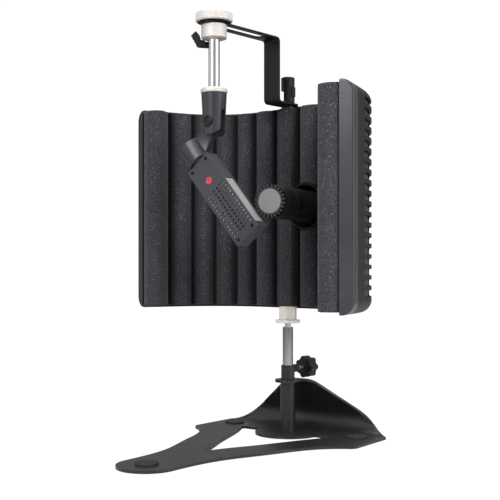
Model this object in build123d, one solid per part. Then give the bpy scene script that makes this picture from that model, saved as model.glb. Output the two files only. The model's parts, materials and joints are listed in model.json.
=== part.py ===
from build123d import *
import os
from math import atan2, cos, degrees, pi, radians, sin, sqrt

# Free-standing microphone reflection filter, in millimetres.
# +Z is up, -Y is the hollow side that the singer faces, +X is to the right of a person
# looking into the hollow side. Every size below is measured from the pole's axis at floor
# level. save() moves each node by MIDDLE_Y, so that the finished object's origin is on the
# floor under the middle of its overall box.
MIDDLE_Y = -136.89       # middle of the whole object's depth, from the pole's axis

# ---- base plate
PLATE_T = 4.0            # steel thickness
PLATE_LIFT = 2.5         # the rubber feet hold the plate this far off the floor
BASE_TURN = 5.0          # the base is turned this much on the pole, degrees
TOE_Y = -310.0           # centre of the round toe
TOE_R = 41.0
PLATE_TOP = PLATE_LIFT + PLATE_T
WING_X = 147.0           # side corners
WING_Y = -38.0
REAR_X = 145.0           # half width where the sheet turns up off the floor
ROLL_Y = 44.0
ROLL_LOW_R = 23.0        # outer radius of the bend off the floor
ROLL_HIGH_R = 18.0       # outer radius of the bend into the tab
ROLL_LEAN = 124.0        # the first bend turns this much, so the sheet leans forward, degrees
TAB_TOP = 85.5
TAB_R = 19.5             # round end of the tab that holds the pole
TAB_NECK = 15.0          # half width of the tab where the roll ends
TONGUE_R = 50.0          # round tongue under the pole
FOOT_PLACES = [(0.0, -312.0), (-114.0, 14.0), (114.0, 14.0)]
FOOT_R = 15.5
FOOT_STEM_R = 10.0
FOOT_PROUD = 3.0
FOOT_SCREW_R = 3.0       # screw that holds the tube from below
FOOT_SCREW_HEAD_R = 6.0
TAB_LOW = TAB_TOP - PLATE_T

# ---- pole
OUTER_TUBE_R = 11.25
SLEEVE_R = 10.3          # upper, narrower end of the outer tube
OUTER_TUBE_BORE = 9.0
SLEEVE_TOP = 105.5
INNER_TUBE_R = 8.0
INNER_TUBE_BORE = 6.5
INNER_PLATE_TOP = 74.0
INNER_TUBE_TOP = 165.0
BUSH_LENGTH = 22.0
STUD_R = 4.75            # 3/8 inch stand thread
STUD_TOP = 192.0
LOCK_RING_Z = 171.5
LOCK_RING_T = 4.5
LOCK_RING_R = 19.0
HEX_FLATS = 25.0
HEX_TOP = 196.7
RUNNING = 0.05           # radial clearance of a turning or sliding fit

# ---- height knob
KNOB_Z = 101.2
KNOB_R = 17.2
KNOB_Y = 38.0
KNOB_T = 16.0
KNOB_LOBES = 7
KNOB_WAVE = 1.5
KNOB_SCREW_R = 3.4
BOSS_R = 6.0
BOSS_END = 21.0

# ---- shield
SHIELD_LOW = 193.5
SHIELD_TOP = 501.5
BACK_Y = 33.0            # outer face of the flat back
FLAT_HALF = 64.0         # half width of the flat back
BEND_R = 130.0           # outer radius of the two bends
BEND_TURN = 70.0         # each bend turns this much, degrees
WING_LENGTH = 70.0       # straight wing after the bend
CASE_DEPTH = 20.0        # thickness of the moulded case
CASE_WALL = 3.0
CASE_ROUND = 18.0        # rounding of the case's top and bottom outer edges
TRIM_LENGTH = 20.0
TRIM_ROUND = 3.0
SHEET_DEPTH = 5.4        # punched aluminium sheet
SHEET_T = 1.0
FELT_DEPTH = 6.5
FELT_T = 3.0
FOAM_BACK = 9.7
FOAM_VALLEY = 30.0
FOAM_CREST = 44.0
FOAM_GAP = 0.3
LOBE_PITCH = 44.0        # measured along the back of the foam
SIDE_LOBES = 5           # full lobes on each side of the middle one
SLOT_ROWS = 19
SLOT_PITCH = 14.5
SLOT_HEIGHT = 8.6
SLOT_MID_Z = 351.0
SLOT_GAP = 6.0
SLOT_FIRST_X = 14.0
BEND_SLOTS = 2           # slots in each row from the flat back round to the wing
SLOT_WING_END = 22.0     # the last slot runs this far onto the wing
PORT_X = 39.5
PORT_Z = 347.0
PORT_R = 34.0
PORT_BORE = 32.7
PORT_WEB_T = 2.5         # web at the back of the liner that closes round the microphone
PORT_WEB_GAP = 0.8
PORT_CLEAR_Z = 46.0      # louvre rows this near the port stop short of it

# ---- spine inside the shield
SPINE_HALF = 16.0
SPINE_T = 3.0
SPINE_FRONT = -9.5       # front of the half-round nose of each flange
SPINE_BACK = 23.2
SPIGOT_R = 5.0           # threaded spigot of the hex coupling
SPIGOT_NUT_R = 8.0       # half of the nut's width across flats
BOLT_HEAD_R = 6.5        # half of the foot bolt's width across flats
SCREW_R = 2.5
SCREW_HEAD_R = 5.0
SHELL_SCREW_Z = [214.0, 481.0]
CLAMP_SCREW_X = -8.0
CLAMP_SCREW_Z = [328.0, 366.0]

# ---- top bracket
BAR_W = 30.0
BAR_T = 3.0
BRACKET_TOP = 598.5
RISER_Y = -37.0
FOOT_REAR_Y = 16.0
NUT_Y = -161.0           # axis of the hanging tube
BAR_SLOT_W = 14.0
BAR_END_ROOM = 6.0       # the slot runs this far past the tube's axis
BAR_SLOT_END = -67.0
BEND_OUT = 7.0
FOOT_BOLT_R = 4.0
WASHER_R = 9.5
LEVER_CAP_R = 10.3
FOOT_LEVER_GAP = 0.4      # the lever turns just clear of the bracket's foot
LEVER_CAP_H = 40.1

# ---- carriage on the bar
DISC_R = 26.2
SLOT_WASHER_R = 23.0     # rubber washer between the disc nut and the slotted arm
DISC_LOW = 599.3
DISC_TOP = 612.0
COLLAR_R = 18.0
COLLAR_LOW = 576.5
COLLAR_BORE_TOP = 586.5
LEVER_PIN_X = -8.85
LEVER_PIN_Y = NUT_Y + 9.8
LEVER_PIN_R = 2.5
LEVER_LOW = 566.0
LEVER_STEM_T = 8.0
LEVER_REACH = 22.0
LEVER_HEADING = 238.0    # degrees from +X
CLIP_TUBE_R = 8.0
RING_Z = 500.0
RING_T = 7.0
RING_R = 19.0

# ---- tilting clip
CLIP_TURN = 7.0          # the clip and its microphone are turned this much, degrees
PIVOT_Z = 459.0
FORK_LOW = 441.0
FORK_CROTCH = 476.0
FORK_R_TOP = 18.0
FORK_R_LOW = 15.0
FORK_GAP = 8.0
KNUCKLE_T = 7.6
KNUCKLE_R = 10.0
PIVOT_R = 3.0
PIVOT_HEAD_R = 7.0
SPOT_FACE = 12.6

# ---- ribbon microphone, in its own frame: local +Z towards the tail, -Y is its front
MIC_TILT = -39.9
MIC_X = 22.2
MIC_Z = 350.7
PLATE_W = 44.4
PLATE_L = 136.0
MIC_DEPTH = 24.0
MIC_PLATE_T = 2.0
MIC_SCREW_X = 15.0
MIC_SCREW_Z = 62.0
HOLE_COLUMNS = 6
HOLE_ROWS = 13
HOLE_DX = 6.9
HOLE_DZ = 5.8
HOLE_TOP_Z = 16.5
HOLE_R = 1.65
MESH_TOP = 21.0
MESH_LOW = -58.0
TAIL_R = 13.0
TAIL_END = 104.0
BARREL_R = 18.0
BARREL_LOW = 70.0
BARREL_TOP = 101.0

# ---- rear microphone, in its own frame: local +Z is the way it points
REAR_X_FRONT = 87.0
REAR_Y_FRONT = -143.0
REAR_Z = 346.0
REAR_TURN = 16.6         # degrees from straight ahead, towards +X
REAR_R = 23.2
REAR_LENGTH = 220.0
HEAD_LENGTH = 48.0
TOOTH_RING_T = 12.0
GRILLE_R = 16.8
REAR_TEETH = 24
CLAMP_BACK = 205.0       # the clamp sits this far behind the front
CLAMP_W = 14.0
CLAMP_R = 28.5
CLAMP_PLATE_HALF = 31.0  # half height of the clamp's foot plate


def save(name, shape):
    export_step(Pos(0, -MIDDLE_Y, 0) * shape, f"parts/{name}.step")


def group(shapes):
    """One compound that holds every solid of the given shapes."""
    return Compound([solid for shape in shapes for solid in shape.solids()])


def rod(radius, low, high, x=0.0, y=0.0):
    """Upright cylinder between two heights."""
    solid = Cylinder(radius, high - low, align=(Align.CENTER, Align.CENTER, Align.MIN))
    return Pos(x, y, low) * solid


def rod_y(radius, near, far, x=0.0, z=0.0):
    """Cylinder along +Y between two Y values."""
    return Pos(x, near, z) * Rot(-90, 0, 0) * rod(radius, 0, far - near)


def block(x0, x1, y0, y1, z0, z1):
    solid = Box(x1 - x0, y1 - y0, z1 - z0, align=(Align.MIN, Align.MIN, Align.MIN))
    return Pos(x0, y0, z0) * solid


def both_sides(shape):
    return shape + mirror(shape, about=Plane.YZ)


def ring_of(count, make):
    return [Rot(0, 0, i * 360 / count) * make for i in range(count)]


# ------------------------------------------------------------------ base
def base_outline():
    """Arrowhead outline, from the round toe back to where the roll starts."""
    toe_right = (TOE_R, TOE_Y)
    flare = Spline(toe_right, (50.0, -220.0), (76.0, -152.0), (WING_X - 8, WING_Y - 14),
                   tangents=[(0.0, 1.0), (1.0, 0.62)])
    corner = ThreePointArc(flare @ 1, (WING_X - 0.5, WING_Y - 6), (WING_X, WING_Y + 2))
    side = Line(corner @ 1, (REAR_X, ROLL_Y))
    rear = Line(side @ 1, (0.0, ROLL_Y))
    middle = Line(rear @ 1, (0.0, TOE_Y - TOE_R))
    toe = ThreePointArc(middle @ 1, (TOE_R * sin(pi / 4), TOE_Y - TOE_R * cos(pi / 4)), toe_right)
    return both_sides(make_face([toe, flare, corner, side, rear, middle]))


def base_window():
    """Three-cornered cut-out with the round tongue under the pole left in it."""
    edge = Spline((4.0, -190.0), (27.0, -134.0), (80.0, -12.0), tangents=[(0.25, 1.0), (0.6, 1.0)])
    corner = ThreePointArc(edge @ 1, (81.5, -5.5), (76.0, -3.0))
    back = Line(corner @ 1, (0.0, -3.0))
    middle = Line(back @ 1, (0.0, -194.0))
    front = ThreePointArc(middle @ 1, (2.8, -193.0), edge @ 0)
    window = both_sides(make_face([edge, corner, back, middle, front]))
    return window - Circle(TONGUE_R)


def roll_stations():
    """(y, z, length run so far) up the middle of the sheet's thickness: bend, straight, bend."""
    low_r, high_r = ROLL_LOW_R - PLATE_T / 2, ROLL_HIGH_R - PLATE_T / 2
    lean = radians(ROLL_LEAN)
    floor_z, tab_z = PLATE_LIFT + PLATE_T / 2, TAB_TOP - PLATE_T / 2
    rise = tab_z - floor_z - low_r * (1 - cos(lean)) - high_r * (1 + cos(lean))
    straight = rise / sin(lean)
    stations = []
    for step in range(9):
        turn = lean * step / 8
        stations.append((ROLL_Y + low_r * sin(turn), floor_z + low_r * (1 - cos(turn)), low_r * turn))
    y, z, run = stations[-1]
    stations.append((y + straight * cos(lean) / 2, z + straight * sin(lean) / 2, run + straight / 2))
    centre_y = y + straight * cos(lean) - high_r * sin(lean)
    for step in range(7):
        turn = lean + (pi - lean) * step / 6
        spot = (centre_y + high_r * sin(turn), tab_z - high_r * (1 + cos(turn)))
        stations.append((*spot, run + straight + high_r * (turn - lean)))
    return stations


def roll_edge(side):
    """Side edge of the sheet, which narrows evenly from the floor up to the tab."""
    stations = roll_stations()
    narrowing = (TAB_NECK - REAR_X) / stations[-1][2]
    points = [(side * (REAR_X + narrowing * run), y, z) for y, z, run in stations]
    return Spline(*points, tangents=[(side * narrowing, 1, 0), (side * narrowing, -1, 0)])


def rolled_sheet():
    skin = Face.make_surface_from_curves(roll_edge(-1).edge(), roll_edge(1).edge())
    outer = Solid.thicken(skin, PLATE_T / 2)
    inner = Solid.thicken(skin, -PLATE_T / 2)
    return outer + inner


def tab():
    reach = roll_stations()[-1][0]
    shape = Pos(0, reach / 2) * Rectangle(2 * TAB_NECK, reach) + Circle(TAB_R)
    return Pos(0, 0, TAB_LOW) * extrude(shape, PLATE_T)


def base_plate():
    flat = Pos(0, 0, PLATE_LIFT) * extrude(base_outline() - base_window(), PLATE_T)
    plate = flat + rolled_sheet() + tab()
    for x, y in FOOT_PLACES:
        plate -= rod(FOOT_STEM_R + RUNNING, 0, 20, x, y)
    plate -= rod(SLEEVE_R + RUNNING, 50, 100)
    plate -= rod(FOOT_SCREW_R + 0.2, 0, 20)
    return plate


def foot():
    """Rubber grommet: a pad on top, a stem through the plate and a flange under it."""
    pad = rod(FOOT_R, PLATE_TOP, PLATE_TOP + FOOT_PROUD)
    pad = fillet(pad.edges().group_by(Axis.Z)[-1], 2.0)
    flange = rod(FOOT_R - 2, 0, PLATE_LIFT)
    return pad + rod(FOOT_STEM_R, 0, PLATE_TOP) + flange


def build_base():
    turned = Rot(0, 0, BASE_TURN)
    save("base_plate", turned * base_plate())
    feet = [turned * Pos(x, y, 0) * foot() for x, y in FOOT_PLACES]
    save("base_feet", group(feet))


# ------------------------------------------------------------------ pole
def outer_tube():
    tube = rod(OUTER_TUBE_R, PLATE_TOP, TAB_LOW) + rod(SLEEVE_R, TAB_LOW, SLEEVE_TOP)
    tube -= rod(OUTER_TUBE_BORE, PLATE_TOP + 7, SLEEVE_TOP + 1)
    tube -= rod(FOOT_SCREW_R + RUNNING, 0, 20)
    tube -= rod_y(KNOB_SCREW_R + 0.1, 0, 20, z=KNOB_Z)
    return tube


def tube_foot_screw():
    head = rod(FOOT_SCREW_HEAD_R, 0.5, PLATE_LIFT)
    drive = extrude(RegularPolygon(2.0, 6), 1.2)
    return head + rod(FOOT_SCREW_R, PLATE_LIFT, PLATE_TOP + 9) - Pos(0, 0, 0.4) * drive


def tube_bush():
    low = SLEEVE_TOP - BUSH_LENGTH
    bush = rod(OUTER_TUBE_BORE - 0.02, low, SLEEVE_TOP)
    bush += rod(SLEEVE_R, SLEEVE_TOP, SLEEVE_TOP + 1.5)
    bush -= rod(INNER_TUBE_R + RUNNING, low - 1, SLEEVE_TOP + 3)
    return bush - rod_y(KNOB_SCREW_R + 0.1, 0, 20, z=KNOB_Z)


def clamp_boss():
    boss = rod_y(BOSS_R, 4, BOSS_END, z=KNOB_Z)
    boss -= rod(SLEEVE_R, KNOB_Z - 20, KNOB_Z + 20)
    return boss - rod_y(KNOB_SCREW_R + RUNNING, 0, 40, z=KNOB_Z)


def star_knob():
    """Seven-lobed knob with a raised hub, on the Y axis."""
    points = []
    steps = KNOB_LOBES * 6
    for i in range(steps):
        turn = 2 * pi * i / steps
        radius = KNOB_R - KNOB_WAVE * (1 - cos(KNOB_LOBES * turn))
        points.append((radius * cos(turn), radius * sin(turn)))
    knob = extrude(make_face(Spline(*points, periodic=True)), KNOB_T)
    rims = knob.edges().group_by(Axis.Z)
    knob = fillet(rims[0] + rims[-1], 1.2)
    knob += rod(8.5, -2.5, 1) + rod(9.0, KNOB_T - 1, KNOB_T + 1.5)
    knob -= rod(KNOB_SCREW_R, -5, KNOB_T - 3)
    return Pos(0, KNOB_Y, KNOB_Z) * Rot(-90, 0, 0) * knob


def knob_screw():
    return rod_y(KNOB_SCREW_R, INNER_TUBE_R + 0.6, KNOB_Y + KNOB_T - 3, z=KNOB_Z)


def inner_tube():
    tube = rod(INNER_TUBE_R, INNER_PLATE_TOP, INNER_TUBE_TOP)
    return tube - rod(INNER_TUBE_BORE, INNER_PLATE_TOP - 1, INNER_TUBE_TOP + 1)


def inner_tube_plug():
    plug = rod(INNER_TUBE_BORE, INNER_PLATE_TOP, INNER_PLATE_TOP + 9)
    return plug + rod(INNER_TUBE_R - 0.2, INNER_PLATE_TOP - 2, INNER_PLATE_TOP)


def thread_stud():
    """Plug in the tube's top with the 3/8 inch stud standing on it."""
    stud = rod(INNER_TUBE_BORE, INNER_TUBE_TOP - 14, INNER_TUBE_TOP)
    stud += rod(STUD_R, INNER_TUBE_TOP, STUD_TOP)
    pitch = 25.4 / 16
    for i in range(4):
        z = INNER_TUBE_TOP + 1.4 + i * pitch
        stud -= rod(STUD_R + 1, z, z + 0.6) - rod(STUD_R - 0.5, z - 1, z + 2)
    return stud


def knurled_disc(radius, low, high, notches, notch_r, chamfer_by):
    disc = rod(radius, low, high)
    rims = disc.edges()
    disc = chamfer(rims, chamfer_by)
    cutter = rod(notch_r, low - 1, high + 1, x=radius + notch_r * 0.45)
    return disc - ring_of(notches, cutter)


def lock_ring():
    top = LOCK_RING_Z + LOCK_RING_T
    disc = knurled_disc(LOCK_RING_R, LOCK_RING_Z, top, 48, 0.9, 0.6)
    return disc - rod(STUD_R + RUNNING, LOCK_RING_Z - 1, top + 1)


def hex_coupling():
    """Hex socket on the stud, with a spigot through the spine's lower flange."""
    low = LOCK_RING_Z + LOCK_RING_T + 0.1
    body = Pos(0, 0, low) * extrude(RegularPolygon(HEX_FLATS / 2, 6, major_radius=False), HEX_TOP - low)
    corner_r = HEX_FLATS / 2 / cos(pi / 6)
    cone = rod(corner_r - 0.3, low, HEX_TOP)
    cone = chamfer(cone.edges(), 1.6)
    body = body & cone
    body += rod(SPIGOT_R, HEX_TOP, HEX_TOP + 12)
    return body - rod(STUD_R + RUNNING, low - 1, STUD_TOP + 1)


def coupling_nut():
    low = HEX_TOP + 0.1 + SPINE_T
    nut = Pos(0, 0, low) * extrude(RegularPolygon(SPIGOT_NUT_R, 6, major_radius=False), 6)
    return nut - rod(SPIGOT_R + 0.02, low - 1, low + 7)


def build_pole():
    save("outer_tube", outer_tube())
    save("tube_foot_screw", tube_foot_screw())
    save("tube_bush", tube_bush())
    save("clamp_boss", clamp_boss())
    save("star_knob", star_knob())
    save("knob_screw", knob_screw())
    save("inner_tube", inner_tube())
    save("inner_tube_plug", inner_tube_plug())
    save("thread_stud", thread_stud())
    save("lock_ring", lock_ring())
    save("hex_coupling", hex_coupling())
    save("coupling_nut", coupling_nut())


# ------------------------------------------------------------------ shield
WING_TURN = radians(90 - BEND_TURN)
WING_OUT = (cos(WING_TURN), sin(WING_TURN))          # outward normal of the right wing
WING_AHEAD = (sin(WING_TURN), -cos(WING_TURN))       # along the right wing, to its end
BEND_MID = (FLAT_HALF, BACK_Y - BEND_R)
BEND_LENGTH = (BEND_R - FOAM_BACK) * radians(BEND_TURN)   # along the back of the foam


def bend_point(depth, turn):
    """Point on the right bend at a depth inside the outer face; turn is from +Y."""
    radius = BEND_R - depth
    return (BEND_MID[0] + radius * sin(radians(turn)), BEND_MID[1] + radius * cos(radians(turn)))


def wing_point(depth, cut):
    """Point on the right wing: a depth inside the outer face, short of the end by cut."""
    x, y = bend_point(depth, BEND_TURN)
    run = WING_LENGTH - cut
    return (x + run * WING_AHEAD[0], y + run * WING_AHEAD[1])


def wall_point(depth, along):
    """Point at a depth and at a length along the back of the foam from the middle."""
    if along < FLAT_HALF:
        return (along, BACK_Y - depth)
    if along < FLAT_HALF + BEND_LENGTH:
        return bend_point(depth, BEND_TURN * (along - FLAT_HALF) / BEND_LENGTH)
    return wing_point(depth, WING_LENGTH - (along - FLAT_HALF - BEND_LENGTH))


def half_run(depth, cut):
    """Right half of a curve at one depth, from the middle to the wing's end."""
    flat = Line((0, BACK_Y - depth), (FLAT_HALF, BACK_Y - depth))
    bend = ThreePointArc(flat @ 1, bend_point(depth, BEND_TURN / 2), bend_point(depth, BEND_TURN))
    wing = Line(bend @ 1, wing_point(depth, cut))
    return [flat, bend, wing]


def wall_face(depth_out, depth_in, cut):
    outer = half_run(depth_out, cut)
    inner = half_run(depth_in, cut)
    end = Line(outer[-1] @ 1, inner[-1] @ 1)
    middle = Line(inner[0] @ 0, outer[0] @ 0)
    return both_sides(make_face(outer + [end] + inner + [middle]))


def rounded_wall(depth_out, depth_in, cut, low, high, rounding):
    """Upright wall whose outer top and bottom edges are rounded."""
    wall = Pos(0, 0, low) * extrude(wall_face(depth_out, depth_in, cut), high - low)
    rims = wall.edges().filter_by_position(Axis.Z, low - 0.01, low + 0.01)
    rims += wall.edges().filter_by_position(Axis.Z, high - 0.01, high + 0.01)
    outer = [edge for edge in rims if on_outer_face(edge, depth_out)]
    return fillet(outer, rounding)


def on_outer_face(edge, depth):
    """True for a rim edge that follows the outer curve."""
    ends_in = 0
    for place in (0.0, 0.5, 1.0):
        x, y = abs((edge @ place).X), (edge @ place).Y
        if depth_of(x, y) < depth + 0.05:
            ends_in += 1
    return ends_in == 3


def depth_of(x, y):
    """Depth of a point of the right half inside the outer face."""
    if x <= FLAT_HALF:
        return BACK_Y - y
    from_mid = (x - BEND_MID[0], y - BEND_MID[1])
    if degrees(atan2(from_mid[0], from_mid[1])) <= BEND_TURN:
        return BEND_R - sqrt(from_mid[0] ** 2 + from_mid[1] ** 2)
    return BEND_R - (from_mid[0] * WING_OUT[0] + from_mid[1] * WING_OUT[1])


def wing_box(cut_from, cut_to):
    """Box round a stretch of the right wing, through its whole thickness."""
    centre = wing_point(CASE_DEPTH / 2, (cut_from + cut_to) / 2)
    box = Box(CASE_DEPTH + 60, cut_to - cut_from, 400)
    place = Pos(centre[0], centre[1], (SHIELD_LOW + SHIELD_TOP) / 2)
    return place * Rot(0, 0, degrees(WING_TURN)) * box


def curve_through(depth, start, stop):
    """Curve at one depth between two lengths along the back of the foam."""
    first, last = wall_point(depth, start), wall_point(depth, stop)
    if max(start, stop) <= FLAT_HALF:
        return Line(first, last)
    return ThreePointArc(first, wall_point(depth, (start + stop) / 2), last)


def slot_cutter(start, stop):
    """Round-ended louvre slot between two lengths along the back of the foam."""
    outer = curve_through(-4, start, stop)
    inner = curve_through(CASE_WALL + 1.2, stop, start)
    edges = [outer, Line(outer @ 1, inner @ 0), inner, Line(inner @ 1, outer @ 0)]
    cutter = extrude(make_face(edges), SLOT_HEIGHT)
    ends = [edge for edge in cutter.edges().filter_by(GeomType.LINE) if crosses_wall(edge)]
    return fillet(ends, SLOT_HEIGHT * 0.49)


def crosses_wall(edge):
    """True for a level edge that runs through the wall, from outside to inside."""
    start, stop = edge @ 0, edge @ 1
    return abs(depth_of(start.X, start.Y) - depth_of(stop.X, stop.Y)) > CASE_WALL + 2


def louvre_slots():
    """Rows of slots over the back and both bends, leaving room round the port."""
    bend_end = FLAT_HALF + BEND_LENGTH + SLOT_WING_END
    span = (bend_end - FLAT_HALF) / BEND_SLOTS
    spans = [(SLOT_FIRST_X, FLAT_HALF - SLOT_GAP / 2)]
    for i in range(BEND_SLOTS):
        spans.append((FLAT_HALF + i * span + SLOT_GAP / 2, FLAT_HALF + (i + 1) * span - SLOT_GAP / 2))
    right = [slot_cutter(a, b) for a, b in spans]
    left = [mirror(cutter, about=Plane.YZ) for cutter in right]
    cutters = []
    for row in range(SLOT_ROWS):
        z = SLOT_MID_Z + (row - (SLOT_ROWS - 1) / 2) * SLOT_PITCH
        near_port = abs(z - PORT_Z) < PORT_CLEAR_Z
        lift = Pos(0, 0, z - SLOT_HEIGHT / 2)
        cutters += [lift * cutter for cutter in left]
        cutters += [lift * cutter for cutter in (right[2:] if near_port else right)]
    return cutters


def port_cut(radius):
    return rod_y(radius, -80, 80, PORT_X, PORT_Z)


def screw_places():
    places = [(0.0, z) for z in SHELL_SCREW_Z]
    return places + [(CLAMP_SCREW_X, z) for z in CLAMP_SCREW_Z]


def screw_cuts(radius):
    return [rod_y(radius, 10, 50, x, z) for x, z in screw_places()]


def outer_shell():
    wall = rounded_wall(0, CASE_DEPTH, 0, SHIELD_LOW, SHIELD_TOP, CASE_ROUND)
    room = rounded_wall(CASE_WALL, CASE_DEPTH + 10, -10, SHIELD_LOW + CASE_WALL, SHIELD_TOP - CASE_WALL,
                        CASE_ROUND - CASE_WALL)
    shell = wall - room
    shell -= wing_box(-10, TRIM_LENGTH)
    shell -= mirror(wing_box(-10, TRIM_LENGTH), about=Plane.YZ)
    shell -= louvre_slots()
    shell -= port_cut(PORT_R + 0.1)
    return shell - screw_cuts(SCREW_R + 0.1)


def end_trim():
    """Right end cap: closed front, open towards the shell, lying flush with it."""
    wall = rounded_wall(0, CASE_DEPTH, 0, SHIELD_LOW, SHIELD_TOP, CASE_ROUND)
    cap = wall & wing_box(-1, TRIM_LENGTH - 0.2)
    front = cap.faces().sort_by(Axis((0, 0, 0), (WING_AHEAD[0], WING_AHEAD[1], 0)))[-1]
    rim = [edge for edge in front.edges() if depth_of((edge @ 0.5).X, (edge @ 0.5).Y) < CASE_DEPTH - 0.5]
    cap = fillet(rim, TRIM_ROUND)
    room = rounded_wall(CASE_WALL, CASE_DEPTH - 2.0, 4.0, SHIELD_LOW + CASE_WALL, SHIELD_TOP - CASE_WALL,
                        CASE_ROUND - CASE_WALL - 1)
    return cap - room


def layer(depth, thickness):
    """Flat sheet that follows the wall inside the case."""
    inset = CASE_ROUND - 2.0
    face = wall_face(depth, depth + thickness, TRIM_LENGTH + 1)
    sheet = Pos(0, 0, SHIELD_LOW + inset) * extrude(face, SHIELD_TOP - SHIELD_LOW - 2 * inset)
    sheet -= port_cut(PORT_R + 0.2)
    return sheet - screw_cuts(SCREW_R + 0.1)


def port_liner():
    liner = rod_y(PORT_R, -9, BACK_Y + 1.5, PORT_X, PORT_Z)
    liner += rod_y(PORT_R + 3, BACK_Y + 0.1, BACK_Y + 2.5, PORT_X, PORT_Z)
    liner -= rod_y(PORT_BORE, -20, BACK_Y + 2.5 - PORT_WEB_T, PORT_X, PORT_Z)
    return liner - rear_place() * rod(REAR_R + PORT_WEB_GAP, -REAR_LENGTH - 40, 10)


def inside_case(shape, gap):
    """Trim a shape to the room inside the case, whose outer edges are rounded."""
    depth = CASE_WALL + gap
    return shape & rounded_wall(depth, 90, -12, SHIELD_LOW + depth, SHIELD_TOP - depth, CASE_ROUND - depth)


def foam_profile():
    """Plan of the lobed foam: round lobes, with a fatter one round each wing's end."""
    valleys = [LOBE_PITCH * (i + 0.5) for i in range(SIDE_LOBES + 1)]
    half_crest = wall_point(FOAM_CREST, 0)
    lobe_height = FOAM_CREST - FOAM_VALLEY
    lobe_r = (valleys[0] ** 2 + lobe_height ** 2) / (2 * lobe_height)
    quarter = valleys[0] / 2
    quarter_depth = FOAM_CREST - lobe_r + sqrt(lobe_r ** 2 - quarter ** 2)
    middle_mid = wall_point(quarter_depth, quarter)
    edges = [ThreePointArc(half_crest, middle_mid, wall_point(FOAM_VALLEY, valleys[0]))]
    for i in range(SIDE_LOBES):
        crest = wall_point(FOAM_CREST, LOBE_PITCH * (i + 1))
        edges.append(ThreePointArc(edges[-1] @ 1, crest, wall_point(FOAM_VALLEY, valleys[i + 1])))
    tip = [wing_point(49, 27), wing_point(54, 14), wing_point(46, 2), wing_point(31, -1)]
    inner_end = wing_point(CASE_DEPTH + 0.3, 4)
    edges.append(Spline(edges[-1] @ 1, *tip, inner_end))
    edges.append(Line(inner_end, wing_point(CASE_DEPTH + 0.3, TRIM_LENGTH + 1)))
    edges.append(Line(edges[-1] @ 1, wing_point(FOAM_BACK, TRIM_LENGTH + 1)))
    back = half_run(FOAM_BACK, TRIM_LENGTH + 1)
    edges += back
    edges.append(Line(back[0] @ 0, half_crest))
    return both_sides(make_face(edges))


def foam_liner():
    low = SHIELD_LOW + CASE_WALL + FOAM_GAP
    high = SHIELD_TOP - CASE_WALL - FOAM_GAP
    foam = inside_case(Pos(0, 0, low) * extrude(foam_profile(), high - low), FOAM_GAP)
    gap = FOAM_GAP
    web = block(-SPINE_HALF - gap, SPINE_HALF + gap, SPINE_BACK - SPINE_T - gap, BACK_Y, low - 1, high + 1)
    foam -= web
    for z0, z1 in ((low - 1, HEX_TOP + 3.8), (SHIELD_TOP - 6.8, high + 1)):
        foam -= Pos(0, 0, z0) * extrude(flange_plan(gap), z1 - z0)
    foam -= rod(SPIGOT_NUT_R / cos(pi / 6) + gap, low - 1, HEX_TOP + 14)
    foam -= rod(BOLT_HEAD_R / cos(pi / 6) + gap, SHIELD_TOP - 18, high + 1)
    return foam - port_cut(PORT_R + 0.3)


def flange_plan(grow):
    """Outline of the spine's flanges: straight sides and a half-round nose."""
    half = SPINE_HALF + grow
    nose_y = SPINE_FRONT + SPINE_HALF
    sides = Pos(0, (nose_y + BACK_Y) / 2) * Rectangle(2 * half, BACK_Y - nose_y)
    return sides + Pos(0, nose_y) * Circle(half)


def spine():
    """C-shaped steel strap: a web behind the foam and a flange above and below it."""
    low = HEX_TOP + 0.1
    high = SHIELD_TOP - CASE_WALL - 0.3
    strap = block(-SPINE_HALF, SPINE_HALF, SPINE_BACK - SPINE_T, SPINE_BACK, low, high)
    for z in (low, high - SPINE_T):
        flange = Pos(0, 0, z) * extrude(flange_plan(0), SPINE_T)
        strap += flange - block(-SPINE_HALF - 1, SPINE_HALF + 1, SPINE_BACK, BACK_Y + 1, low, high)
    strap -= rod(SPIGOT_R + 0.05, low - 1, low + SPINE_T + 1)
    strap -= rod(FOOT_BOLT_R + 0.05, high - SPINE_T - 1, high + 1)
    strap = inside_case(strap, 0.05)
    return strap - screw_cuts(SCREW_R + 0.02) - port_cut(PORT_R + 0.3)


def back_screw(x, z, under_head):
    """Pan-head screw from behind, through the case and into the spine."""
    screw = rod_y(SCREW_R, SPINE_BACK - SPINE_T - 0.1, under_head, x, z)
    head = rod_y(SCREW_HEAD_R, under_head, under_head + 2.6, x, z)
    head = fillet(head.edges().group_by(Axis.Y)[-1], 1.4)
    cross = block(x - 2.6, x + 2.6, under_head + 1.4, under_head + 5, z - 0.5, z + 0.5)
    cross += block(x - 0.5, x + 0.5, under_head + 1.4, under_head + 5, z - 2.6, z + 2.6)
    return screw + head - cross


def rear_axis(back):
    """Point on the rear microphone's axis, a distance behind its front."""
    turn = radians(REAR_TURN)
    return (REAR_X_FRONT - back * sin(turn), REAR_Y_FRONT + back * cos(turn))


def rear_place():
    """Local +Z to the way the rear microphone points, local +Y to world up."""
    pointing = (sin(radians(REAR_TURN)), -cos(radians(REAR_TURN)), 0)
    across = (cos(radians(REAR_TURN)), sin(radians(REAR_TURN)), 0)
    return Plane((REAR_X_FRONT, REAR_Y_FRONT, REAR_Z), x_dir=across, z_dir=pointing).location


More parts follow.
